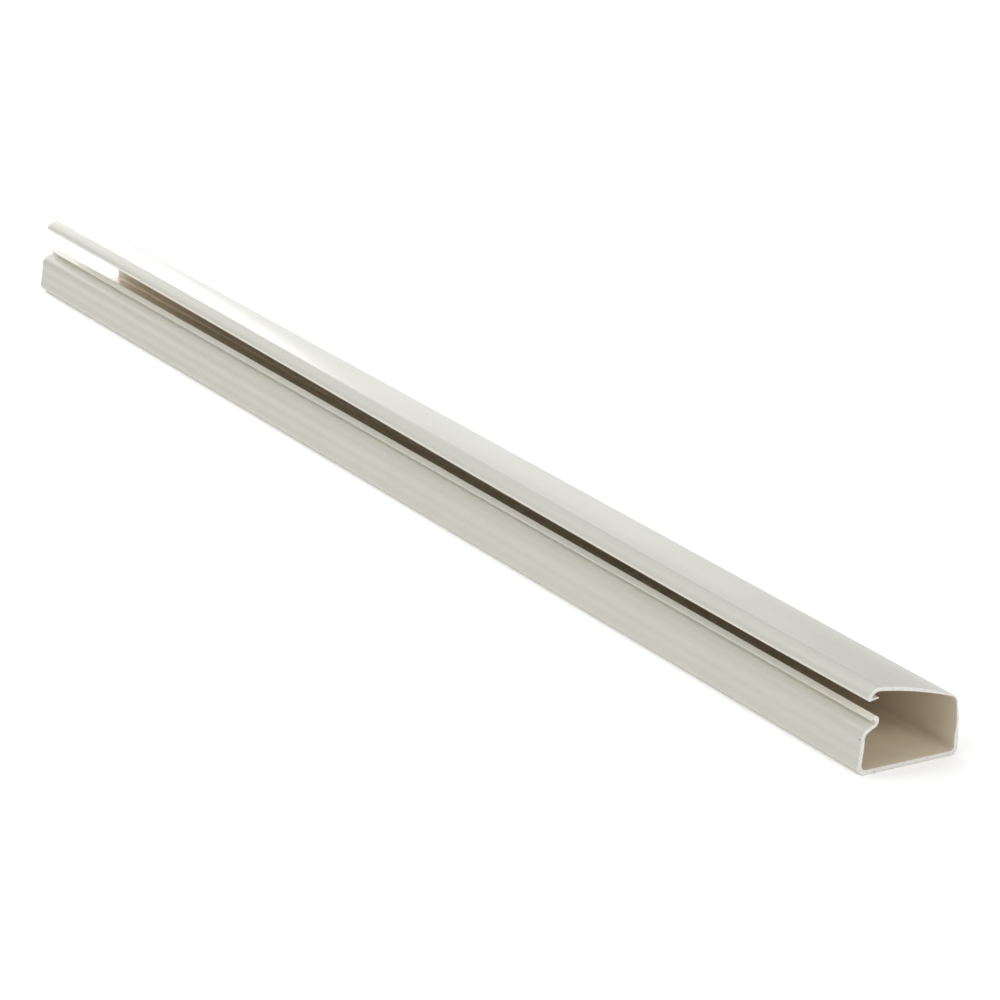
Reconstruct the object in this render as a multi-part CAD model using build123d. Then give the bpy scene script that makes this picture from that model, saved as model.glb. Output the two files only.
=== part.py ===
from build123d import *
from math import cos, radians, sin
import os

# A one-piece latching cable trunking, lying on its adhesive tape with the cover sprung open.
# X runs along the trunking, the latch side faces -Y, Z is up, and z = 0 is the stuck face.
# Lengths are in millimetres and angles in degrees. Heights are above the stuck face, and
# an inset is measured inwards from the widest point of the front.

# Overall size
trunking_length = 610.0
trunking_width = 38.5

# Adhesive tape under the floor, and its margins to the two feet
tape_thickness = 0.65
tape_front_margin = 1.6
tape_back_margin = 3.4

# Floor and feet
floor_thickness = 1.0
foot_clearance = 0.1        # the feet stop this far above the stuck face
toe_inset = 2.65
front_foot_width = 2.5
back_foot_width = 0.95
front_corner_rise = 2.6
front_corner_bulge = 0.45
back_corner_radius = 2.4

# Back wall: a stiff lower part that thins into a flexible hinge strip
back_wall_thickness = 1.4
back_inner_radius = 1.1
thick_part_height = 6.4
thin_part_height = 9.8
hinge_root_height = 13.0
hinge_thickness = 0.85

# Front wall: its outside is two shallow swells with a valley above each, under the shoulder
foot_wall_thickness = 1.55
foot_inner_radius = 1.9
front_wall_thickness = 1.2
lower_swell_inset, lower_swell_height = 0.38, 5.3
lower_valley_inset, lower_valley_height = 0.86, 7.6
upper_swell_inset, upper_swell_height = 0.95, 9.5
upper_valley_inset, upper_valley_height = 1.2, 11.2

# Shoulder's turn, neck and groove, with the direction to the inner side at each point
turn_inset, turn_height, turn_direction = 1.85, 14.15, -33.0
shoulder_end_inset, shoulder_end_height, shoulder_end_direction = 3.3, 15.35, -62.0
neck_inset, neck_height, neck_direction = 4.75, 16.2, -60.0
groove_inset, groove_height, groove_direction = 6.2, 17.2, -38.0
groove_end_inset, groove_end_height = 5.7, 18.1

# Catch lip
lip_tip_inset, lip_tip_height = 4.1, 18.15
lip_nose_inset, lip_nose_thickness = 3.95, 0.3
lip_top_inset, lip_top_thickness = 6.25, 1.05
lip_crest_inset, lip_crest_height = 7.1, 18.75
lip_back_thickness, lip_back_height = 1.2, 17.85

# Bend at the top of the back wall
hinge_lean = 0.7            # how far the hinge strip's top leans in
bend_radius = 3.6           # outside of the bend
bend_thickness = 0.55       # the strip at its thinnest
bend_centre_height = 17.5

# Cover, given as it lies when shut
cover_thickness = 1.05
cover_back_slope = 6.0
crown_inset, crown_height = 24.0, 21.8
brow_inset, brow_height, brow_thickness = 5.6, 20.6, 1.25
brow_turn_inset, brow_turn_height, brow_turn_direction = 3.5, 19.35, -48.0
chin_inset, chin_height = 2.1, 16.6
cover_tip_inset = 2.5
cover_tip_clearance = 0.05  # above the end of the shoulder's turn
barb_root_thickness = 1.3
barb_point_thickness = 0.3
barb_point_clearance = 0.25  # from the barb's point to the bottom of the groove

# How far the cover has sprung open: share of the length from the +X end, and the angle there
opening_stations = ((0.0, 16.4), (1 / 3, 16.9), (2 / 3, 19.8), (1.0, 21.1))

half_width = trunking_width / 2
floor_top = tape_thickness + floor_thickness
front_foot_inner = toe_inset + front_foot_width - half_width
back_foot_inner = half_width - back_corner_radius - back_foot_width
bend_centre_y = half_width - hinge_lean - bend_radius


def point(y, z, x=0.0):
    """A point of a cross section."""
    return Vector(x, y, z)


def front_point(inset, height):
    """A point measured inwards from the widest point of the front."""
    return point(inset - half_width, height)


def behind(outer, direction, thickness=front_wall_thickness):
    """The point on the inner side of a wall, in the given direction from an outer point."""
    angle = radians(direction)
    return outer + point(thickness * cos(angle), thickness * sin(angle))


def bulged_arc(start, corner, end, bulge):
    """An arc from start to end that bulges towards the corner."""
    middle = (start + end) * 0.5
    return ThreePointArc(start, middle + (corner - middle).normalized() * bulge, end)


def quarter_arc(start, corner, end):
    """The quarter circle that rounds a square corner."""
    radius = (corner - start).length
    return bulged_arc(start, corner, end, radius * (1 - cos(radians(45))))


def back_and_underside():
    """Outline from the hinge strip's root down the back, under the floor and to the toe."""
    corner_top = point(half_width, foot_clearance + back_corner_radius)
    corner_end = point(half_width - back_corner_radius, foot_clearance)
    return [
        Line(point(half_width, hinge_root_height), corner_top),
        quarter_arc(corner_top, point(half_width, foot_clearance), corner_end),
        Line(corner_end, point(back_foot_inner, foot_clearance)),
        Line(point(back_foot_inner, foot_clearance), point(back_foot_inner, tape_thickness)),
        Line(point(back_foot_inner, tape_thickness), point(front_foot_inner, tape_thickness)),
        Line(point(front_foot_inner, tape_thickness), point(front_foot_inner, foot_clearance)),
        Line(point(front_foot_inner, foot_clearance), front_point(toe_inset, foot_clearance)),
    ]


def front_outside():
    """Outline from the toe up the front wall and over its shoulder to the neck."""
    widest = front_point(0, foot_clearance + front_corner_rise)
    lower_valley = front_point(lower_valley_inset, lower_valley_height)
    upper_valley = front_point(upper_valley_inset, upper_valley_height)
    shoulder_end = front_point(shoulder_end_inset, shoulder_end_height)
    return [
        bulged_arc(front_point(toe_inset, foot_clearance), front_point(0, foot_clearance),
                   widest, front_corner_bulge),
        ThreePointArc(widest, front_point(lower_swell_inset, lower_swell_height), lower_valley),
        ThreePointArc(lower_valley, front_point(upper_swell_inset, upper_swell_height),
                      upper_valley),
        ThreePointArc(upper_valley, front_point(turn_inset, turn_height), shoulder_end),
        Line(shoulder_end, front_point(neck_inset, neck_height)),
    ]


def catch_lip():
    """Outline of the groove above the neck and of the lip that curls outwards over it."""
    neck = front_point(neck_inset, neck_height)
    groove_end = front_point(groove_end_inset, groove_end_height)
    tip = front_point(lip_tip_inset, lip_tip_height)
    nose = front_point(lip_nose_inset, lip_tip_height + lip_nose_thickness)
    top = front_point(lip_top_inset, groove_end_height + lip_top_thickness)
    back = front_point(groove_inset + lip_back_thickness, lip_back_height)
    return [
        ThreePointArc(neck, front_point(groove_inset, groove_height), groove_end),
        Line(groove_end, tip),
        Line(tip, nose),
        Line(nose, top),
        ThreePointArc(top, front_point(lip_crest_inset, lip_crest_height), back),
    ]


def front_inside():
    """Outline from the back of the lip down the inner side of the front wall to the floor."""
    lip_back = front_point(groove_inset + lip_back_thickness, lip_back_height)
    heel = behind(front_point(groove_inset, groove_height), groove_direction)
    neck_back = behind(front_point(neck_inset, neck_height), neck_direction)
    turn_start = behind(front_point(shoulder_end_inset, shoulder_end_height), shoulder_end_direction)
    turn = behind(front_point(turn_inset, turn_height), turn_direction)
    upper_back = behind(front_point(upper_valley_inset, upper_valley_height), 0)
    lower_back = behind(front_point(lower_valley_inset, lower_valley_height), 0)
    foot_top = front_point(foot_wall_thickness, floor_top + foot_inner_radius)
    floor_front = front_point(foot_wall_thickness + foot_inner_radius, floor_top)
    return [
        ThreePointArc(lip_back, heel, neck_back),
        Line(neck_back, turn_start),
        ThreePointArc(turn_start, turn, upper_back),
        Line(upper_back, lower_back),
        Line(lower_back, foot_top),
        quarter_arc(foot_top, front_point(foot_wall_thickness, floor_top), floor_front),
    ]


def floor_and_back_inside():
    """Outline across the floor and up the inner side of the back wall to the hinge strip."""
    thick_y = half_width - back_wall_thickness
    thin_y = half_width - hinge_thickness
    floor_front = front_point(foot_wall_thickness + foot_inner_radius, floor_top)
    floor_back = point(thick_y - back_inner_radius, floor_top)
    wall_foot = point(thick_y, floor_top + back_inner_radius)
    return [
        Line(floor_front, floor_back),
        quarter_arc(floor_back, point(thick_y, floor_top), wall_foot),
        Line(wall_foot, point(thick_y, thick_part_height)),
        Line(point(thick_y, thick_part_height), point(thin_y, thin_part_height)),
        Line(point(thin_y, thin_part_height), point(thin_y, hinge_root_height)),
        Line(point(thin_y, hinge_root_height), point(half_width, hinge_root_height)),
    ]


def channel():
    """The fixed part: floor, feet, back wall up to the hinge strip, front wall and catch lip."""
    outline = Wire(back_and_underside() + front_outside() + catch_lip()
                   + front_inside() + floor_and_back_inside())
    solid = extrude(Face(outline), amount=trunking_length, dir=(1, 0, 0))
    return Pos(-trunking_length / 2, 0, 0) * solid


def cover_section(x, opening):
    """The cross section of the hinge strip, bend, cover and barb at one place along the length."""
    centre = point(bend_centre_y, bend_centre_height)

    def swung(inset, height):
        """A point of the shut cover, swung open about the centre of the bend."""
        arm = front_point(inset, height) - centre
        turn = radians(opening)
        return centre + point(arm.Y * cos(turn) + arm.Z * sin(turn),
                              arm.Z * cos(turn) - arm.Y * sin(turn), x)

    def on_bend(radius, angle):
        """A point of the bend, by its angle up from level."""
        return centre + point(radius * cos(radians(angle)), radius * sin(radians(angle)), x)

    def swung_inside(inset, height, direction, thickness=cover_thickness):
        """The point on the cover's inner side, in the given direction from an outer point."""
        inner = behind(front_point(inset, height), direction, thickness)
        return swung(inner.Y + half_width, inner.Z)

    bend_end = 90 - opening - cover_back_slope
    inner_radius = bend_radius - bend_thickness
    tip_height = shoulder_end_height + cover_tip_clearance
    point_inset = groove_inset - barb_point_clearance
    root = point(half_width, hinge_root_height, x)
    inner_root = point(half_width - hinge_thickness, hinge_root_height, x)
    brow, chin = swung(brow_inset, brow_height), swung(chin_inset, chin_height)
    tip = swung(cover_tip_inset, tip_height)
    barb_under = swung(point_inset, groove_height - barb_point_thickness / 2)
    barb_top = swung(point_inset, groove_height + barb_point_thickness / 2)
    barb_root = swung(chin_inset + cover_thickness, tip_height + barb_root_thickness)
    inner_brow = swung_inside(brow_inset, brow_height, -90, brow_thickness)
    return Face(Wire([
        Line(root, on_bend(bend_radius, 0)),
        ThreePointArc(on_bend(bend_radius, 0), on_bend(bend_radius, bend_end / 2),
                      on_bend(bend_radius, bend_end)),
        ThreePointArc(on_bend(bend_radius, bend_end), swung(crown_inset, crown_height), brow),
        ThreePointArc(brow, swung(brow_turn_inset, brow_turn_height), chin),
        Line(chin, tip),
        Line(tip, barb_under),
        Line(barb_under, barb_top),
        Line(barb_top, barb_root),
        ThreePointArc(barb_root, swung_inside(brow_turn_inset, brow_turn_height, brow_turn_direction),
                      inner_brow),
        ThreePointArc(inner_brow, swung_inside(crown_inset, crown_height, -90),
                      on_bend(inner_radius, bend_end)),
        ThreePointArc(on_bend(inner_radius, bend_end), on_bend(inner_radius, bend_end / 2),
                      on_bend(inner_radius, 0)),
        Line(on_bend(inner_radius, 0), inner_root),
        Line(inner_root, root),
    ]))


def cover():
    """The hinge strip and cover, which stands open a little wider towards the -X end."""
    near_end = trunking_length / 2
    return loft([cover_section(near_end - share * trunking_length, angle)
                 for share, angle in opening_stations])


def tape():
    """The strip of foam adhesive tape that lies between the feet."""
    front_edge = front_foot_inner + tape_front_margin
    back_edge = back_foot_inner - tape_back_margin
    block = Box(trunking_length, back_edge - front_edge, tape_thickness,
                align=(Align.CENTER, Align.MIN, Align.MIN))
    return Pos(0, front_edge, 0) * block


os.makedirs("parts", exist_ok=True)
export_step(channel() + cover(), "parts/trunking_profile.step")
export_step(tape(), "parts/adhesive_tape.step")
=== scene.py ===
"""A length of one-piece latching cable trunking, dressed as its photograph shows it.

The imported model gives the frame: X runs along the trunking, the latch side faces -Y, Z is up, and
z = 0 is the stuck face of the tape. The pieces' sizes are in millimetres. The finishes, the studio
and each finished mesh are in metres. A grain is how often a pattern repeats in a metre.
"""

import logging
import math
from dataclasses import dataclass, field
from enum import Enum
from typing import Optional, Sequence, Union

import bmesh
import bpy
from mathutils import Matrix, Vector


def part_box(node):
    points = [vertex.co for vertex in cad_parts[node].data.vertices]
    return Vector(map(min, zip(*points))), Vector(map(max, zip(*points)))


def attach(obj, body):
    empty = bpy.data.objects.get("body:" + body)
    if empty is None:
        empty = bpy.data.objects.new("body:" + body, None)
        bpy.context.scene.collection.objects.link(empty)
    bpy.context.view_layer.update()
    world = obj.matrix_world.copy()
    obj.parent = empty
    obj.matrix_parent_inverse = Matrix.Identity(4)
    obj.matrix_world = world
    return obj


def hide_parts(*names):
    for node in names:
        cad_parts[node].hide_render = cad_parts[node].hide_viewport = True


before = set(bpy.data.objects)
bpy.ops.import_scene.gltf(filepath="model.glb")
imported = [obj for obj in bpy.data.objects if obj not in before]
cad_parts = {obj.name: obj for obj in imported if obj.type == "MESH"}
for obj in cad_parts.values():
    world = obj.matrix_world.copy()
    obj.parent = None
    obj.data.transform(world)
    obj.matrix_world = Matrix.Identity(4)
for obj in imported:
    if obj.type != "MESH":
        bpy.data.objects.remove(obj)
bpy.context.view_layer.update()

LOG = logging.getLogger("trunking")
MILLIMETRE = 0.001
PVC_IOR = 1.53
# Edges that turn by more than this stay sharp in the shading.
SHARP_ANGLE = math.radians(38)
# A face counts as facing along an axis when its normal's share of that axis is above this.
SQUARE_ON = 0.9
Number = Union[float, int, "Signal"]
Colour = tuple[float, float, float]
YZ = tuple[float, float]
Place = tuple[float, float, float]
Span = tuple[float, float]


class Slot(Enum):
    """The material slots, one to each piece."""

    PROFILE = "trunking_profile"
    TAPE = "adhesive_tape"


class ProfileSide(Enum):
    """The surfaces of the trunking, in the order of its materials."""

    SKIN = 0
    SAWN = 1


class TapeSide(Enum):
    """The surfaces of the tape, in the order of its materials."""

    FOAM = 0
    BACKING = 1


# Shader maths


class Signal:
    """One output socket of a material's nodes, usable in plain arithmetic."""

    def __init__(self, shader: "Shader", socket: bpy.types.NodeSocket) -> None:
        """Keep the socket and the shader that new nodes go into.

        Args:
            shader: The material's shader.
            socket: The output socket that carries the value.
        """
        self.shader = shader
        self.socket = socket

    def _maths(self, operation: str, first: Number, second: Number) -> "Signal":
        """Return a Math node's result for two values."""
        return self.shader.node("ShaderNodeMath", {"operation": operation}, [first, second])

    def __add__(self, other: Number) -> "Signal":
        """Return self + other."""
        return self._maths("ADD", self, other)

    def __radd__(self, other: Number) -> "Signal":
        """Return other + self."""
        return self._maths("ADD", other, self)

    def __sub__(self, other: Number) -> "Signal":
        """Return self - other."""
        return self._maths("SUBTRACT", self, other)

    def __rsub__(self, other: Number) -> "Signal":
        """Return other - self."""
        return self._maths("SUBTRACT", other, self)

    def __mul__(self, other: Number) -> "Signal":
        """Return self * other."""
        return self._maths("MULTIPLY", self, other)

    def __rmul__(self, other: Number) -> "Signal":
        """Return other * self."""
        return self._maths("MULTIPLY", other, self)

    def __abs__(self) -> "Signal":
        """Return the value without its sign."""
        return self._maths("ABSOLUTE", self, 0.0)

    def step(self, low: float, high: float) -> "Signal":
        """Return a smooth step that is 0 at low and 1 at high.

        Args:
            low: The value where the step starts.
            high: The value where it ends, which may be the smaller one.

        Returns:
            A signal from 0 to 1.
        """
        rising = high > low
        settings = {"interpolation_type": "SMOOTHSTEP", "clamp": True}
        inputs = {
            "Value": self,
            "From Min": min(low, high),
            "From Max": max(low, high),
            "To Min": 0.0 if rising else 1.0,
            "To Max": 1.0 if rising else 0.0,
        }
        return self.shader.node("ShaderNodeMapRange", settings, inputs)


class Shader:
    """A material's node tree, with one way of adding a node."""

    # A Mix node's colour sockets, whose names its sockets for numbers also have.
    MIX_FIRST, MIX_SECOND, MIX_RESULT = 6, 7, 2

    def __init__(self, name: str) -> None:
        """Start an empty material with an output and a plastic-like surface.

        Args:
            name: The material's name.
        """
        self.material = bpy.data.materials.new(name)
        self.material.use_nodes = True
        self.tree = self.material.node_tree
        self.tree.nodes.clear()
        output = self.tree.nodes.new("ShaderNodeOutputMaterial")
        self.surface = self.tree.nodes.new("ShaderNodeBsdfPrincipled")
        self.tree.links.new(self.surface.outputs["BSDF"], output.inputs["Surface"])

    def node(
        self,
        kind: str,
        settings: Optional[dict] = None,
        inputs: Union[dict, Sequence, None] = None,
        output: Union[str, int] = 0,
    ) -> Signal:
        """Add a node, set it up and connect it.

        Args:
            kind: The node's type.
            settings: The node's own properties, set before its sockets.
            inputs: Values or signals by socket name, or in the order of the sockets.
            output: The name or number of the output to return.

        Returns:
            The chosen output.
        """
        made = self.tree.nodes.new(kind)
        for key, value in (settings or {}).items():
            setattr(made, key, value)
        pairs = inputs.items() if isinstance(inputs, dict) else enumerate(inputs or [])
        for key, value in pairs:
            self.connect(made.inputs[key], value)
        return Signal(self, made.outputs[output])

    def connect(self, target: bpy.types.NodeSocket, value: object) -> None:
        """Link a signal to a socket, or set the socket to a constant.

        Args:
            target: The input socket.
            value: A signal, a number, a colour or a vector.
        """
        if isinstance(value, Signal):
            self.tree.links.new(value.socket, target)
        elif isinstance(value, tuple) and target.type == "RGBA" and len(value) == 3:
            target.default_value = (*value, 1.0)
        else:
            target.default_value = value

    def place(self) -> Signal:
        """Return the point on the piece."""
        return self.node("ShaderNodeTexCoord", output="Object")

    def apart(self, vector: Signal) -> tuple[Signal, Signal, Signal]:
        """Return a vector's three parts."""
        split = self.node("ShaderNodeSeparateXYZ", inputs=[vector]).socket.node
        return tuple(Signal(self, split.outputs[axis]) for axis in ("X", "Y", "Z"))

    def stretched(self, vector: Signal, along: float, across: float) -> Signal:
        """Return a vector scaled by one factor along X and another across it."""
        settings = {"operation": "MULTIPLY"}
        return self.node("ShaderNodeVectorMath", settings, [vector, (along, across, across)])

    def noise(self, vector: Signal, scale: float = 1.0, detail: float = 2.0) -> Signal:
        """Return soft noise from about 0.3 to 0.7, which averages 0.5."""
        inputs = {"Vector": vector, "Scale": scale, "Detail": detail}
        return self.node("ShaderNodeTexNoise", None, inputs)

    def near(self, vector: Signal, spot: Place, radius: float, core: float) -> Signal:
        """Return 1 within a core about a spot, falling to 0 at a radius."""
        settings = {"operation": "DISTANCE"}
        distance = self.node("ShaderNodeVectorMath", settings, [vector, spot], output="Value")
        return distance.step(radius, core)

    def sine(self, angle: Signal) -> Signal:
        """Return the sine of an angle in radians."""
        return self.node("ShaderNodeMath", {"operation": "SINE"}, [angle])

    def mark(self, name: str) -> Signal:
        """Return a number that the mesh carries at each vertex."""
        return self.node("ShaderNodeAttribute", {"attribute_name": name}, output="Fac")

    def blend(self, factor: Signal, first: object, second: object) -> Signal:
        """Return a colour between two colours."""
        inputs = {"Factor": factor, self.MIX_FIRST: first, self.MIX_SECOND: second}
        return self.node("ShaderNodeMix", {"data_type": "RGBA"}, inputs, self.MIX_RESULT)

    def relief(self, height: Signal) -> None:
        """Raise the surface by a height."""
        inputs = {"Strength": 1.0, "Distance": 1.0, "Height": height}
        self.connect(self.surface.inputs["Normal"], self.node("ShaderNodeBump", None, inputs))

    def finish(self, **sockets: object) -> bpy.types.Material:
        """Set sockets of the surface and return the material.

        Args:
            **sockets: Values or signals by socket name, with _ for a space.

        Returns:
            The finished material.
        """
        for name, value in sockets.items():
            socket = name.replace("_", " ").title().replace("Ior", "IOR")
            self.connect(self.surface.inputs[socket], value)
        return self.material


# Finishes


@dataclass(frozen=True)
class ExtrudedSkin:
    """Satin ivory PVC as it leaves the die, with fine lines drawn along its length.

    The mesh marks the inner surfaces, painted brighter and browner as painted light, the lip and
    cover edge, painted paler as painted light, and the cover's crease, darkened as painted shade.
    The walls carry soft bands of painted shade.
    A grain of two numbers is along the length and across it, and a nick's core is a share of its
    radius.
    """

    colour: Colour = (0.600, 0.568, 0.492)
    # The PVC's duller patches and lines, and also the painted shade bands along the walls.
    dull_and_shade_colour: Colour = (0.532, 0.507, 0.424)
    # Painted light: the inner surfaces are brighter and browner, for warm light that passes the
    # thin walls and bounces inside the channel.
    inside_bounce_light_colour: Colour = (0.768, 0.682, 0.538)
    # Painted light: the groove, catch lip and cover tip edge are paler, for light on the lip under
    # the cover and a highlight along the tip.
    lip_and_tip_light_colour: Colour = (0.775, 0.741, 0.650)
    # Painted shade: a thin darker line along the cover's crease, over its small dent.
    crease_shade_colour: Colour = (0.470, 0.450, 0.385)
    speck_colour: Colour = (0.20, 0.17, 0.13)
    whitened_colour: Colour = (0.84, 0.78, 0.72)
    roughness: float = 0.30
    mottle_roughness: float = 0.04
    whitened_roughness: float = 0.2
    line_grain: Span = (3.0, 1500.0)
    line_height: float = 8.0e-7
    ripple_grain: Span = (4.0, 260.0)
    ripple_height: float = 2.6e-6
    streak_grain: Span = (0.9, 430.0)
    streak_range: Span = (0.40, 0.60)
    streak_dulling: float = 0.16
    mottle_grain: float = 38.0
    mottle_range: Span = (0.36, 0.70)
    mottle_dulling: float = 0.12
    line_range: Span = (0.42, 0.68)
    line_dulling: float = 0.06
    fine_grain: float = 1100.0
    speck_range: Span = (0.86, 0.89)
    half_length: float = 0.305
    band_pitch: float = 0.0040
    band_start: float = 0.0055
    band_top: float = 0.0140
    band_fade: float = 0.0008
    band_growth_start: float = 0.3
    band_least: float = 0.35
    band_growth: float = 0.95
    whitening_reach: float = 0.0011
    whitening_full: float = 0.0001
    whitening_range: Span = (0.38, 0.62)
    crease_depth: float = 2.0e-5
    nick_depth: float = 5.0e-5
    nick_radius: float = 0.00055
    nick_core: float = 0.35
    nicks: tuple[Place, ...] = (
        (0.3040, -0.01812, 0.0120),
        (0.3043, -0.0152, 0.0276),
    )
    crease_shade_strength: float = 0.8
    whitened_strength: float = 0.55
    speck_strength: float = 0.35
    nick_strength: float = 0.9

    def bands(self, shader: Shader, along: Signal, up: Signal) -> Signal:
        """Return soft bands of painted shade along the walls: darker where the swells tilt down,
        and stronger towards the far end.

        Args:
            shader: The material's shader.
            along: The place along the length.
            up: The height.

        Returns:
            A signal from 0 to about 1.3.
        """
        wave = shader.sine((up - self.band_start) * (math.tau / self.band_pitch))
        growth = along.step(self.half_length * self.band_growth_start, -self.half_length)
        strength = growth * self.band_growth + self.band_least
        fade = up.step(self.band_top + self.band_fade, self.band_top - self.band_fade)
        return strength * fade * (0.5 - wave * 0.5)

    def whitening(self, shader: Shader, place: Signal, along: Signal) -> Signal:
        """Return the ragged white edge that the saw leaves round both cut ends."""
        rim = abs(along).step(
            self.half_length - self.whitening_reach, self.half_length - self.whitening_full
        )
        return rim * shader.noise(place, self.fine_grain).step(*self.whitening_range)

    def nicked(self, shader: Shader, place: Signal) -> Signal:
        """Return the small nicks near the +X end."""
        core = self.nick_radius * self.nick_core
        first, *others = (shader.near(place, spot, self.nick_radius, core) for spot in self.nicks)
        return sum(others, first)

    def material(self) -> bpy.types.Material:
        """Build the material.

        Returns:
            The material of the trunking's moulded surfaces.
        """
        shader = Shader("extruded_skin")
        place = shader.place()
        along, _, up = shader.apart(place)
        lines = shader.noise(shader.stretched(place, *self.line_grain), detail=3.0)
        ripples = shader.noise(shader.stretched(place, *self.ripple_grain), detail=1.0)
        streaks = shader.noise(shader.stretched(place, *self.streak_grain), detail=0.0)
        mottle = shader.noise(place, self.mottle_grain, detail=4.0)
        specks = shader.noise(place, self.fine_grain, detail=0.0).step(*self.speck_range)
        crease, whitening = shader.mark("crease"), self.whitening(shader, place, along)
        nick = self.nicked(shader, place)

        dulling_and_shade = (
            streaks.step(*self.streak_range) * self.streak_dulling
            + mottle.step(*self.mottle_range) * self.mottle_dulling
            + lines.step(*self.line_range) * self.line_dulling
        )
        # Painted shade: soft darker bands on the walls where their swells tilt down.
        dulling_and_shade = dulling_and_shade + self.bands(shader, along, up)
        colour = shader.blend(dulling_and_shade, self.colour, self.dull_and_shade_colour)
        # Painted light: the inside brighter and browner, the lip and cover tip paler. Painted shade
        # along the crease. Then the saw whitening, dust specks and nicks.
        for mask, tone in (
            (shader.mark("inside"), self.inside_bounce_light_colour),
            (shader.mark("rubbed"), self.lip_and_tip_light_colour),
            (crease * self.crease_shade_strength, self.crease_shade_colour),
            (whitening * self.whitened_strength, self.whitened_colour),
            (specks * self.speck_strength, self.speck_colour),
            (nick * self.nick_strength, self.speck_colour),
        ):
            colour = shader.blend(mask, colour, tone)
        shader.relief(
            lines * self.line_height
            + ripples * self.ripple_height
            - crease * self.crease_depth
            - nick * self.nick_depth
        )
        roughness = self.roughness + (mottle - 0.5) * self.mottle_roughness
        roughness = roughness + whitening * self.whitened_roughness
        return shader.finish(base_color=colour, roughness=roughness, ior=PVC_IOR)


@dataclass(frozen=True)
class SawnFace:
    """A freshly cut end of the PVC, paler and rougher than its skin."""

    colour: Colour = (0.810, 0.783, 0.750)
    smeared_colour: Colour = (0.630, 0.600, 0.560)
    roughness: float = 0.62
    saw_tilt: float = math.radians(24)
    saw_pitch: float = 0.00042
    saw_depth: float = 9.0e-6
    saw_shade: float = 0.08
    wander_grain: float = 420.0
    wander: float = 0.0006
    torn_grain: float = 5200.0
    torn_depth: float = 1.2e-5
    smear_grain: float = 600.0
    smear_range: Span = (0.45, 0.66)
    smear_shade: float = 0.5
    smear_polish: float = 0.16

    def material(self) -> bpy.types.Material:
        """Build the material.

        Returns:
            The material of the two cut ends.
        """
        shader = Shader("sawn_face")
        place = shader.place()
        _, across, up = shader.apart(place)
        wander = shader.noise(place, self.wander_grain) * self.wander
        track = across * math.cos(self.saw_tilt) + up * math.sin(self.saw_tilt) + wander
        teeth = shader.sine(track * (math.tau / self.saw_pitch))
        torn = shader.noise(place, self.torn_grain, detail=3.0)
        smear = shader.stretched(place, self.smear_grain, self.smear_grain)
        smear = shader.noise(smear, detail=3.0).step(*self.smear_range)
        shading = smear * self.smear_shade + (teeth + 1.0) * self.saw_shade
        colour = shader.blend(shading, self.colour, self.smeared_colour)
        shader.relief(teeth * self.saw_depth + torn * self.torn_depth)
        roughness = self.roughness - smear * self.smear_polish
        return shader.finish(base_color=colour, roughness=roughness, ior=PVC_IOR)


@dataclass(frozen=True)
class FoamFinish:
    """Off-white closed-cell foam tape, with fine open cells along its slit edges."""

    colour: Colour = (0.80, 0.77, 0.70)
    # Painted shade: the sunk cell hollows are darker.
    cell_hollow_shade_colour: Colour = (0.60, 0.565, 0.50)
    cell_size: float = 0.00022
    cell_depth: float = 3.5e-5
    cell_range: Span = (0.30, 0.62)
    cell_shade: float = 0.5
    cell_polish: float = 0.08
    cloud_grain: float = 300.0
    cloud_depth: float = 2.0e-5
    cloud_shade: float = 0.2
    roughness: float = 0.82

    def material(self) -> bpy.types.Material:
        """Build the material.

        Returns:
            The material of the tape's slit and cut sides.
        """
        shader = Shader("foam_tape")
        place = shader.place()
        inputs = {"Vector": place, "Scale": 1.0 / self.cell_size, "Randomness": 1.0}
        cells = shader.node("ShaderNodeTexVoronoi", None, inputs, output="Distance")
        walls = cells.step(*self.cell_range)
        cloud = shader.noise(place, self.cloud_grain, detail=3.0)
        # Painted shade in the sunk cell hollows, and random clouding.
        shading = (1.0 - walls) * self.cell_shade + cloud * self.cloud_shade
        colour = shader.blend(shading, self.colour, self.cell_hollow_shade_colour)
        shader.relief(walls * self.cell_depth + cloud * self.cloud_depth)
        roughness = self.roughness - walls * self.cell_polish
        return shader.finish(base_color=colour, roughness=roughness)


@dataclass(frozen=True)
class BackingFinish:
    """The tape's stuck face, under its smooth backing paper."""

    colour: Colour = (0.83, 0.81, 0.74)
    shade: Colour = (0.74, 0.71, 0.63)
    fibre_grain: Span = (500.0, 1400.0)
    fibre_height: float = 2.0e-6
    fibre_range: Span = (0.35, 0.68)
    fibre_shade: float = 0.35
    fibre_roughness: float = 0.16
    cloud_grain: float = 60.0
    cloud_range: Span = (0.35, 0.65)
    cloud_shade: float = 0.3
    wrinkle_grain: Span = (34.0, 70.0)
    wrinkle_height: float = 4.0e-5
    roughness: float = 0.40

    def material(self) -> bpy.types.Material:
        """Build the material.

        Returns:
            The material of the tape's two wide faces.
        """
        shader = Shader("tape_backing")
        place = shader.place()
        fibres = shader.noise(shader.stretched(place, *self.fibre_grain), detail=4.0)
        clouds = shader.noise(place, self.cloud_grain, detail=3.0)
        wrinkles = shader.noise(shader.stretched(place, *self.wrinkle_grain), detail=1.0)
        shading = fibres.step(*self.fibre_range) * self.fibre_shade
        shading = shading + clouds.step(*self.cloud_range) * self.cloud_shade
        colour = shader.blend(shading, self.colour, self.shade)
        shader.relief(fibres * self.fibre_height + wrinkles * self.wrinkle_height)
        roughness = self.roughness + fibres * self.fibre_roughness
        return shader.finish(base_color=colour, roughness=roughness)


Finish = Union[ExtrudedSkin, SawnFace, FoamFinish, BackingFinish]

# Section drawing


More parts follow.
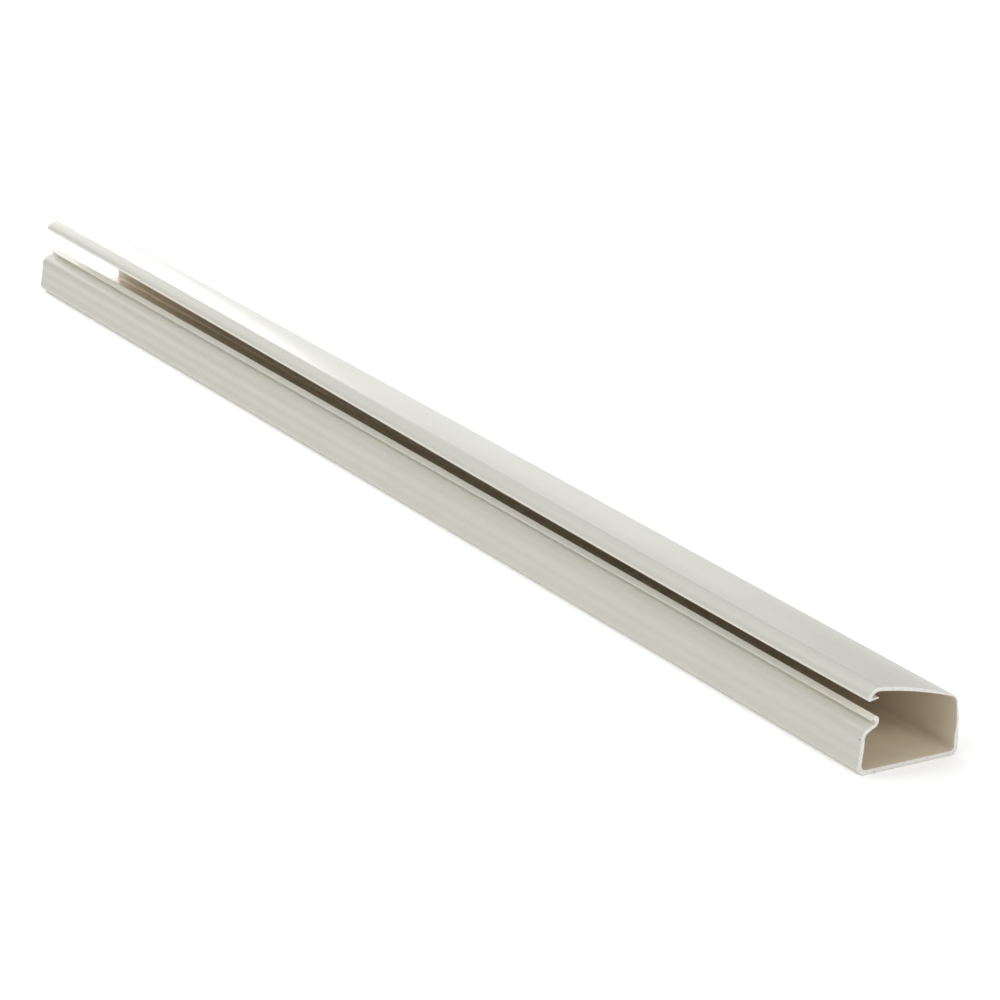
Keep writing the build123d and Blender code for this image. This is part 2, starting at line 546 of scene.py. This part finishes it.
class SectionPen:
    """Draws an outline in one plane across the length, a vertex at a time."""

    FINEST_TURN = math.radians(7.5)
    FEWEST_STEPS = 2
    CORNER_SEGMENTS = 4

    def __init__(self, x: float, start: YZ, longest_step: float) -> None:
        """Put the pen down.

        Args:
            x: Where the plane stands along the length.
            start: The outline's first point.
            longest_step: The longest distance between two points of an arc.
        """
        self.bm = bmesh.new()
        self.marks = dict.fromkeys(("swing", "crease", "inside", "rubbed"), 0.0)
        self.layers = {name: self.bm.verts.layers.float.new(name) for name in self.marks}
        self.x = x
        self.longest_step = longest_step
        self.first = self.tip = self.bm.verts.new((x, *start))
        self.corners: dict[tuple, list[bmesh.types.BMVert]] = {}
        self.valleys: list[bmesh.types.BMVert] = []

    def _grow(self, matrix: Matrix) -> None:
        """Extrude the pen's vertex and move the new one by a matrix."""
        grown = bmesh.ops.extrude_vert_indiv(self.bm, verts=[self.tip])["verts"][0]
        bmesh.ops.transform(self.bm, matrix=matrix, verts=[grown])
        for name, value in self.marks.items():
            grown[self.layers[name]] = value
        self.tip = grown

    def line(self, end: YZ) -> "SectionPen":
        """Draw a straight line to a point."""
        goal = Vector((self.x, *end))
        self._grow(Matrix.Translation(goal - self.tip.co))
        return self

    def arc(self, via: YZ, end: YZ, swing_to: Optional[float] = None) -> "SectionPen":
        """Draw an arc through one point to another.

        Args:
            via: A point that the arc passes.
            end: The point where it ends.
            swing_to: The share of the cover's swing that the arc works up or down to.

        Returns:
            The pen.
        """
        a, b, c = self.tip.co.yz, Vector(via), Vector(end)
        centre = circle_centre(a, b, c)
        turn = turned(a - centre, b - centre) + turned(b - centre, c - centre)
        length = abs(turn) * (a - centre).length
        by_turn = math.ceil(abs(turn) / self.FINEST_TURN)
        steps = max(self.FEWEST_STEPS, by_turn, math.ceil(length / self.longest_step))
        pivot = Matrix.Translation((self.x, *centre))
        spin = pivot @ Matrix.Rotation(turn / steps, 4, "X") @ pivot.inverted()
        swing_from = self.marks["swing"]
        swung = 0.0 if swing_to is None else swing_to - swing_from
        for step in range(1, steps + 1):
            self.marks["swing"] = swing_from + swung * step / steps
            self._grow(spin)
        return self

    def corner(self, radius: float) -> "SectionPen":
        """Mark the pen's vertex as a corner, which gets a small radius."""
        key = (radius, *self.marks.items())
        self.corners.setdefault(key, []).append(self.tip)
        return self

    def crease(self) -> "SectionPen":
        """Mark the pen's vertex as a fine line that runs along the whole length."""
        self.tip[self.layers["crease"]] = 1.0
        return self

    def valley(self) -> "SectionPen":
        """Mark the pen's vertex as a soft crease, which is eased away."""
        self.valleys.append(self.tip)
        return self

    def close(self, ease_reach: int) -> bmesh.types.BMesh:
        """Join the outline's ends, soften its creases and corners and fill it.

        Args:
            ease_reach: How many points each side of a soft crease are eased.

        Returns:
            A mesh of one face.
        """
        bmesh.ops.contextual_create(self.bm, geom=[self.tip, self.first])
        for middle in self.valleys:
            bmesh.ops.smooth_vert(
                self.bm, verts=around(middle, ease_reach), factor=0.5,
                use_axis_x=True, use_axis_y=True, use_axis_z=True,
            )
        bmesh.ops.contextual_create(self.bm, geom=self.bm.edges[:])
        for (radius, *marks), corners in self.corners.items():
            rounded = bmesh.ops.bevel(
                self.bm, geom=corners, offset=radius, offset_type="OFFSET",
                segments=self.CORNER_SEGMENTS, profile=0.5, affect="VERTICES", material=-1,
                clamp_overlap=True,
            )
            for vert in rounded["verts"]:
                for name, value in marks:
                    vert[self.layers[name]] = value
        return self.bm


def circle_centre(a: Vector, b: Vector, c: Vector) -> Vector:
    """Return the centre of the circle through three points of a plane.

    Args:
        a: The first point.
        b: The second point.
        c: The third point.

    Returns:
        The centre.
    """
    u, w = b - a, c - a
    area = 2.0 * (u.x * w.y - u.y * w.x)
    return a + Vector(
        (
            (w.y * u.length_squared - u.y * w.length_squared) / area,
            (u.x * w.length_squared - w.x * u.length_squared) / area,
        )
    )


def turned(start: Vector, end: Vector) -> float:
    """Return the angle from one direction to another, anticlockwise."""
    return math.atan2(start.x * end.y - start.y * end.x, start.dot(end))


def slant(radius: float) -> float:
    """Return how far the middle of a rounded corner lies in from each of its two sides."""
    return radius * (1 - math.sqrt(0.5))


def around(middle: bmesh.types.BMVert, reach: int) -> list[bmesh.types.BMVert]:
    """Return a vertex and its neighbours along the outline.

    Args:
        middle: The vertex in the middle.
        reach: How many neighbours to take each side.

    Returns:
        The vertices, the middle one first.
    """
    found = [middle]
    ring = [middle]
    for _ in range(reach):
        beside = [edge.other_vert(vert) for vert in ring for edge in vert.link_edges]
        ring = [vert for vert in beside if vert not in found]
        found.extend(ring)
    return found


def shown(bm: bmesh.types.BMesh, name: str, finishes: dict[Enum, Finish]) -> bpy.types.Object:
    """Turn a finished bmesh into an object of the scene.

    Args:
        bm: The mesh, in millimetres, which is used up.
        name: The object's name.
        finishes: The finish of each of the piece's surfaces.

    Returns:
        The object, at the origin.
    """
    bmesh.ops.scale(bm, vec=(MILLIMETRE,) * 3, verts=bm.verts)
    mesh = bpy.data.meshes.new(name)
    bm.to_mesh(mesh)
    bm.free()
    for side in sorted(finishes, key=lambda surface: surface.value):
        mesh.materials.append(finishes[side].material())
    mesh.shade_smooth()
    mesh.set_sharp_from_angle(angle=SHARP_ANGLE)
    piece = bpy.data.objects.new(name, mesh)
    bpy.context.scene.collection.objects.link(piece)
    weighted = piece.modifiers.new("even_shading", "WEIGHTED_NORMAL")
    weighted.mode = "FACE_AREA"
    weighted.keep_sharp = True
    return piece


# Pieces


@dataclass
class TrunkingProfile:
    """The one-piece extrusion: floor, feet, walls, catch lip, hinge strip, cover and barb.

    A point of the front is given as (inset, height): inwards from the widest point of the front,
    and above the stuck face. A direction is that of the wall's inner side, in degrees.
    """

    length: float = 610.0
    width: float = 38.5
    tape_recess: float = 0.65
    floor_thickness: float = 1.0
    foot_clearance: float = 0.1
    toe_inset: float = 2.65
    front_foot_width: float = 2.5
    back_foot_width: float = 0.95
    front_corner_rise: float = 2.6
    front_corner_bulge: float = 0.45
    back_corner_radius: float = 2.4
    back_wall_thickness: float = 1.4
    back_inner_radius: float = 1.1
    thick_part_height: float = 6.4
    thin_part_height: float = 9.8
    hinge_root_height: float = 13.0
    hinge_thickness: float = 0.85
    foot_wall_thickness: float = 1.55
    foot_inner_radius: float = 1.9
    front_wall_thickness: float = 1.2
    lower_swell: YZ = (0.38, 5.3)
    lower_valley: YZ = (0.86, 7.6)
    upper_swell: YZ = (0.95, 9.5)
    upper_valley: YZ = (1.2, 11.2)
    turn: YZ = (1.85, 14.15)
    turn_direction: float = -33.0
    shoulder_end: YZ = (3.3, 15.35)
    shoulder_end_direction: float = -62.0
    neck: YZ = (4.75, 16.2)
    neck_direction: float = -60.0
    groove: YZ = (6.2, 17.2)
    groove_direction: float = -38.0
    groove_end: YZ = (5.7, 18.1)
    lip_tip: YZ = (4.1, 18.15)
    lip_nose: YZ = (3.95, 18.45)
    lip_top: YZ = (6.25, 19.15)
    lip_crest: YZ = (7.1, 18.75)
    lip_back: YZ = (7.4, 17.85)
    hinge_lean: float = 0.7
    bend_radius: float = 3.6
    bend_thickness: float = 0.55
    bend_centre_height: float = 17.5
    cover_thickness: float = 1.05
    cover_back_slope: float = 6.0
    crown: YZ = (24.0, 21.8)
    brow: YZ = (5.6, 20.6)
    brow_thickness: float = 1.25
    brow_turn: YZ = (3.5, 19.35)
    brow_turn_direction: float = -48.0
    chin: YZ = (2.1, 16.6)
    cover_tip: YZ = (2.5, 15.4)
    barb_root_thickness: float = 1.3
    barb_point_thickness: float = 0.3
    barb_point_inset: float = 5.95
    openings: tuple[float, ...] = (16.4, 16.9, 19.8, 21.1)
    corner_radius: float = 0.14
    cover_tip_radius: float = 0.42
    burr_radius: float = 0.06
    burr_segments: int = 2
    longest_step: float = 0.5
    ease_reach: int = 3
    steps_along: int = 36
    end_steps: tuple[float, ...] = (0.5, 2.5)
    skin: ExtrudedSkin = field(default_factory=ExtrudedSkin)
    cut: SawnFace = field(default_factory=SawnFace)

    def front(self, spot: YZ) -> YZ:
        """Return the point of an inset and a height."""
        return spot[0] - self.width / 2, spot[1]

    def behind(self, spot: YZ, direction: float, thickness: Optional[float] = None) -> YZ:
        """Return the point on the inner side of the wall behind a point of the front.

        Args:
            spot: The outer point's inset and height.
            direction: The direction to the inner side, in degrees.
            thickness: The wall's thickness, or the front wall's.

        Returns:
            The inner point.
        """
        depth = self.front_wall_thickness if thickness is None else thickness
        y, z = self.front(spot)
        angle = math.radians(direction)
        return y + depth * math.cos(angle), z + depth * math.sin(angle)

    def on_bend(self, radius: float, angle: float) -> YZ:
        """Return a point of the hinge's bend, by its angle up from level in degrees."""
        y = self.width / 2 - self.hinge_lean - self.bend_radius
        up = math.radians(angle)
        return y + radius * math.cos(up), self.bend_centre_height + radius * math.sin(up)

    def draw_base(self, pen: SectionPen) -> None:
        """Draw down the back, under the floor and up the front wall to its neck."""
        back, clear, radius = self.width / 2, self.foot_clearance, self.back_corner_radius
        back_foot = back - radius - self.back_foot_width
        front_foot = self.toe_inset + self.front_foot_width - back
        pen.line((back, clear + radius))
        pen.arc((back - slant(radius), clear + slant(radius)), (back - radius, clear))
        for spot in (
            (back_foot, clear),
            (back_foot, self.tape_recess),
            (front_foot, self.tape_recess),
            (front_foot, clear),
        ):
            pen.line(spot).corner(self.corner_radius)
        pen.line(self.front((self.toe_inset, clear)))
        toe = Vector((self.toe_inset, clear))
        widest = Vector((0.0, clear + self.front_corner_rise))
        middle = (toe + widest) / 2
        outwards = (Vector((0.0, clear)) - middle).normalized() * self.front_corner_bulge
        pen.arc(self.front(tuple(middle + outwards)), self.front(tuple(widest)))
        pen.arc(self.front(self.lower_swell), self.front(self.lower_valley)).valley()
        pen.arc(self.front(self.upper_swell), self.front(self.upper_valley)).valley()
        pen.arc(self.front(self.turn), self.front(self.shoulder_end))
        pen.line(self.front(self.neck))

    def draw_lip(self, pen: SectionPen) -> None:
        """Draw round the groove and the catch lip and down the inside of the front wall."""
        # Painted light: the groove and catch lip are painted paler than the cover's shade leaves
        # them.
        pen.marks["rubbed"] = 1.0
        pen.arc(self.front(self.groove), self.front(self.groove_end))
        pen.line(self.front(self.lip_tip)).corner(self.corner_radius)
        pen.line(self.front(self.lip_nose)).corner(self.corner_radius)
        pen.line(self.front(self.lip_top))
        pen.arc(self.front(self.lip_crest), self.front(self.lip_back))
        # From here the inner surfaces are marked for the brighter, browner painted light.
        pen.marks.update(rubbed=0.0, inside=1.0)
        pen.arc(
            self.behind(self.groove, self.groove_direction),
            self.behind(self.neck, self.neck_direction),
        )
        pen.line(self.behind(self.shoulder_end, self.shoulder_end_direction))
        pen.arc(self.behind(self.turn, self.turn_direction), self.behind(self.upper_valley, 0))
        pen.line(self.behind(self.lower_valley, 0))

    def draw_inside(self, pen: SectionPen) -> None:
        """Draw across the floor and up the inside of the back wall to the bend."""
        floor = self.tape_recess + self.floor_thickness
        thick_y = self.width / 2 - self.back_wall_thickness
        thin_y = self.width / 2 - self.hinge_thickness
        wall, radius = self.foot_wall_thickness, self.foot_inner_radius
        middle = (wall + slant(radius), floor + slant(radius))
        pen.line(self.front((wall, floor + radius)))
        pen.arc(self.front(middle), self.front((wall + radius, floor)))
        radius = self.back_inner_radius
        pen.line((thick_y - radius, floor))
        pen.arc((thick_y - slant(radius), floor + slant(radius)), (thick_y, floor + radius))
        pen.line((thick_y, self.thick_part_height)).line((thin_y, self.thin_part_height))
        pen.line((thin_y, self.hinge_root_height))
        pen.line(self.on_bend(self.bend_radius - self.bend_thickness, 0))

    def draw_cover(self, pen: SectionPen) -> None:
        """Draw the inside of the shut cover, round its barb and back over its outside."""
        inner = self.bend_radius - self.bend_thickness
        end, thick = 90 - self.cover_back_slope, self.cover_thickness
        pen.arc(self.on_bend(inner, end / 2), self.on_bend(inner, end), swing_to=1.0)
        inner_brow = self.behind(self.brow, -90, self.brow_thickness)
        pen.arc(self.behind(self.crown, -90, thick), inner_brow).valley()
        barb_root = (self.chin[0] + thick, self.cover_tip[1] + self.barb_root_thickness)
        half_point = self.barb_point_thickness / 2
        inner_turn = self.behind(self.brow_turn, self.brow_turn_direction, thick)
        pen.arc(inner_turn, self.front(barb_root))
        pen.marks["inside"] = 0.0
        for height in (self.groove[1] + half_point, self.groove[1] - half_point):
            pen.line(self.front((self.barb_point_inset, height))).corner(self.corner_radius)
        # Painted highlight: the cover tip's rounded edge is painted paler along the slot.
        pen.marks["rubbed"] = 1.0
        pen.line(self.front(self.cover_tip)).corner(self.cover_tip_radius)
        pen.marks["rubbed"] = 0.0
        pen.line(self.front(self.chin))
        # The brow's vertex carries the crease: a fine dent with a line of painted shade.
        pen.arc(self.front(self.brow_turn), self.front(self.brow)).crease()
        pen.arc(self.front(self.crown), self.on_bend(self.bend_radius, end))
        middle, root = self.on_bend(self.bend_radius, end / 2), self.on_bend(self.bend_radius, 0)
        pen.arc(middle, root, swing_to=0.0)

    def opening_at(self, share: float) -> float:
        """Return the cover's opening, in degrees, on a smooth curve through its known values.

        Args:
            share: The share of the length from the +X end.

        Returns:
            The opening angle.
        """
        last = len(self.openings) - 1
        total = 0.0
        for station, angle in enumerate(self.openings):
            weight = 1.0
            for other in range(len(self.openings)):
                if other != station:
                    weight *= (share * last - other) / (station - other)
            total += angle * weight
        return total

    def stations(self) -> list[float]:
        """Return the shares of the length where the extrusion has a ring of vertices."""
        ends = [step / self.length for step in self.end_steps]
        middle = [i / self.steps_along for i in range(1, self.steps_along)]
        return [*ends, *middle, *(1 - share for share in reversed(ends)), 1.0]

    def extrude(self, bm: bmesh.types.BMesh) -> None:
        """Draw the section out along the length, from the +X end."""
        face, reached = next(iter(bm.faces)), 0.0
        for share in self.stations():
            grown = bmesh.ops.extrude_face_region(bm, geom=[face])["geom"]
            if reached > 0:
                bmesh.ops.delete(bm, geom=[face], context="FACES_ONLY")
            verts = [part for part in grown if isinstance(part, bmesh.types.BMVert)]
            face = next(part for part in grown if isinstance(part, bmesh.types.BMFace))
            step = (reached - share) * self.length
            bmesh.ops.translate(bm, vec=(step, 0, 0), verts=verts)
            reached = share

    def swing_open(self, bm: bmesh.types.BMesh, layer: bmesh.types.BMLayerItem) -> None:
        """Swing each ring of the cover open about the bend, by its own angle."""
        pivot = Matrix.Translation((0, *self.on_bend(0, 0)))
        back = pivot.inverted()
        for vert in bm.verts:
            if vert[layer]:
                share = 0.5 - vert.co.x / self.length
                angle = math.radians(self.opening_at(share)) * vert[layer]
                vert.co = pivot @ Matrix.Rotation(-angle, 4, "X") @ back @ vert.co

    def ease_cut_edges(self, bm: bmesh.types.BMesh) -> None:
        """Give the two cut ends their slightly broken edges and their own material."""
        caps = [face for face in bm.faces if abs(face.normal.x) > SQUARE_ON]
        edges = list({edge for face in caps for edge in face.edges})
        rim = bmesh.ops.bevel(
            bm, geom=edges, offset=self.burr_radius, offset_type="OFFSET",
            segments=self.burr_segments, profile=0.5, affect="EDGES", material=-1,
            clamp_overlap=False,
        )
        for face in rim["faces"]:
            face.material_index = ProfileSide.SAWN.value
        for face in bm.faces:
            if abs(face.normal.x) > SQUARE_ON:
                face.material_index = ProfileSide.SAWN.value

    def build(self) -> bpy.types.Object:
        """Build the piece and let it stand for the CAD node.

        Returns:
            The trunking's object.
        """
        outer_root = (self.width / 2, self.hinge_root_height)
        pen = SectionPen(self.length / 2, outer_root, self.longest_step)
        self.draw_base(pen)
        self.draw_lip(pen)
        self.draw_inside(pen)
        self.draw_cover(pen)
        bm = pen.close(self.ease_reach)
        self.extrude(bm)
        bmesh.ops.recalc_face_normals(bm, faces=bm.faces)
        self.swing_open(bm, pen.layers["swing"])
        self.ease_cut_edges(bm)
        bmesh.ops.recalc_face_normals(bm, faces=bm.faces)
        finishes = {ProfileSide.SKIN: self.skin, ProfileSide.SAWN: self.cut}
        piece = shown(bm, "latching_trunking", finishes)
        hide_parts("trunking_profile")
        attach(piece, "root")
        return piece


@dataclass
class AdhesiveTape:
    """The strip of foam tape under the floor, with slightly swollen slit edges."""

    edge_swell: float = 0.12
    swell_cuts: int = 3
    corner_radius: float = 0.07
    corner_segments: int = 2
    corner_angle: float = math.radians(50)
    foam: FoamFinish = field(default_factory=FoamFinish)
    backing: BackingFinish = field(default_factory=BackingFinish)

    def build(self) -> bpy.types.Object:
        """Build the piece in the space of the CAD node.

        Returns:
            The tape's object.
        """
        low, high = (Vector(corner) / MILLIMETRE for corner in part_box("adhesive_tape"))
        size, centre = high - low, (low + high) / 2
        bm = bmesh.new()
        bmesh.ops.create_cube(bm, size=1.0)
        bmesh.ops.scale(bm, vec=(size.x, size.y - 2 * self.edge_swell, size.z), verts=bm.verts)
        bmesh.ops.translate(bm, vec=centre, verts=bm.verts)
        upright = [
            edge for edge in bm.edges if abs(edge.verts[0].co.z - edge.verts[1].co.z) > size.z / 2
        ]
        bmesh.ops.subdivide_edges(bm, edges=upright, cuts=self.swell_cuts, use_grid_fill=True)
        for vert in bm.verts:
            level = (vert.co.z - centre.z) / (size.z / 2)
            side = math.copysign(1.0, vert.co.y - centre.y)
            vert.co.y += side * self.edge_swell * (1 - level * level)
        rims = [edge for edge in bm.edges if edge.calc_face_angle(0.0) > self.corner_angle]
        bmesh.ops.bevel(
            bm, geom=rims, offset=self.corner_radius, offset_type="OFFSET",
            segments=self.corner_segments, profile=0.5, affect="EDGES", material=-1,
            clamp_overlap=True,
        )
        bmesh.ops.recalc_face_normals(bm, faces=bm.faces)
        for face in bm.faces:
            if abs(face.normal.z) > SQUARE_ON:
                face.material_index = TapeSide.BACKING.value
        finishes = {TapeSide.FOAM: self.foam, TapeSide.BACKING: self.backing}
        piece = shown(bm, "foam_tape", finishes)
        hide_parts("adhesive_tape")
        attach(piece, "root")
        return piece


# Studio


@dataclass(frozen=True)
class SoftBox:
    """A rectangular soft light that faces the middle of the trunking, in metres and watts."""

    name: str
    place: Place
    size: Span
    power: float
    colour: Colour


@dataclass
class Studio:
    """A pale floor, soft light and the camera, in metres and degrees."""

    floor_size: float = 9.0
    floor_colour: Colour = (0.87, 0.865, 0.855)
    glow_colour: Colour = (1.0, 0.95, 0.92)
    floor_glow: float = 0.26
    floor_roughness: float = 0.9
    air_colour: Colour = (0.88, 0.93, 0.97)
    air_strength: float = 0.43
    lights: tuple[SoftBox, ...] = (
        SoftBox("front_high", (-0.3, -1.30, 1.90), (3.2, 0.3), 24.5, (0.87, 0.93, 0.97)),
        SoftBox("back_low", (-2.4, 1.02, 0.35), (0.7, 0.5), 5.0, (1.0, 0.98, 0.96)),
        SoftBox("back_wide", (-2.51, 1.45, 0.30), (1.3, 0.6), 2.6, (1.0, 0.98, 0.96)),
        SoftBox("near_fill", (2.1, 0.1, 1.25), (1.2, 1.0), 14.0, (0.94, 0.93, 0.90)),
        SoftBox("far_fill", (-2.3, 0.15, 0.45), (0.9, 0.7), 19.0, (0.96, 0.93, 0.89)),
        SoftBox("overhead", (-0.4, 0.3, 2.2), (2.4, 1.8), 15.8, (0.89, 0.93, 0.97)),
    )
    camera_place: Place = (1.2411, -0.7075, 0.4885)
    camera_azimuth: float = 59.210
    camera_elevation: float = 19.058
    camera_roll: float = 0.946
    lens: float = 145.44
    sensor_width: float = 36.0

    def lay_floor(self) -> None:
        """Lay the floor under the tape's stuck face."""
        bm = bmesh.new()
        bmesh.ops.create_grid(bm, x_segments=1, y_segments=1, size=self.floor_size / 2)
        mesh = bpy.data.meshes.new("floor")
        bm.to_mesh(mesh)
        bm.free()
        shader = Shader("floor")
        pale = shader.finish(
            base_color=self.floor_colour,
            roughness=self.floor_roughness,
            emission_color=self.glow_colour,
            emission_strength=self.floor_glow,
        )
        mesh.materials.append(pale)
        floor = bpy.data.objects.new("floor", mesh)
        bpy.context.scene.collection.objects.link(floor)

    def hang_light(self, box: SoftBox) -> None:
        """Hang a soft box and turn it towards the middle of the trunking."""
        light = bpy.data.lights.new(box.name, "AREA")
        light.shape = "RECTANGLE"
        light.size, light.size_y = box.size
        light.energy = box.power
        light.color = box.colour
        lamp = bpy.data.objects.new(box.name, light)
        lamp.location = box.place
        lamp.rotation_euler = (-lamp.location).to_track_quat("-Z", "Y").to_euler()
        bpy.context.scene.collection.objects.link(lamp)

    def fill_air(self) -> None:
        """Surround the scene with an even pale light."""
        world = bpy.data.worlds.new("studio_air")
        world.use_nodes = True
        background = world.node_tree.nodes["Background"]
        background.inputs["Color"].default_value = (*self.air_colour, 1.0)
        background.inputs["Strength"].default_value = self.air_strength
        bpy.context.scene.world = world

    def place_camera(self) -> None:
        """Stand the camera where the photograph was taken from."""
        lens = bpy.data.cameras.new("camera")
        lens.lens, lens.sensor_width = self.lens, self.sensor_width
        camera = bpy.data.objects.new("camera", lens)
        azimuth = Matrix.Rotation(math.radians(self.camera_azimuth), 4, "Z")
        tilt = Matrix.Rotation(math.radians(90 - self.camera_elevation), 4, "X")
        roll = Matrix.Rotation(math.radians(self.camera_roll), 4, "Z")
        camera.matrix_world = Matrix.Translation(self.camera_place) @ azimuth @ tilt @ roll
        bpy.context.scene.collection.objects.link(camera)
        bpy.context.scene.camera = camera

    def build(self) -> None:
        """Set the whole studio up."""
        self.lay_floor()
        self.fill_air()
        for box in self.lights:
            self.hang_light(box)
        self.place_camera()
        bpy.context.scene.view_settings.view_transform = "Standard"


def corners(box: tuple[Vector, Vector]) -> list[list[float]]:
    """Return a box's two corners as plain lists."""
    return [list(corner) for corner in box]


def main() -> None:
    """Build every piece and the studio."""
    logging.basicConfig(level=logging.INFO, format="%(name)s: %(message)s")
    for builder in (TrunkingProfile(), AdhesiveTape()):
        piece = builder.build()
    Studio().build()
    LOG.info("the studio is set up")


if __name__ == "__main__":
    main()
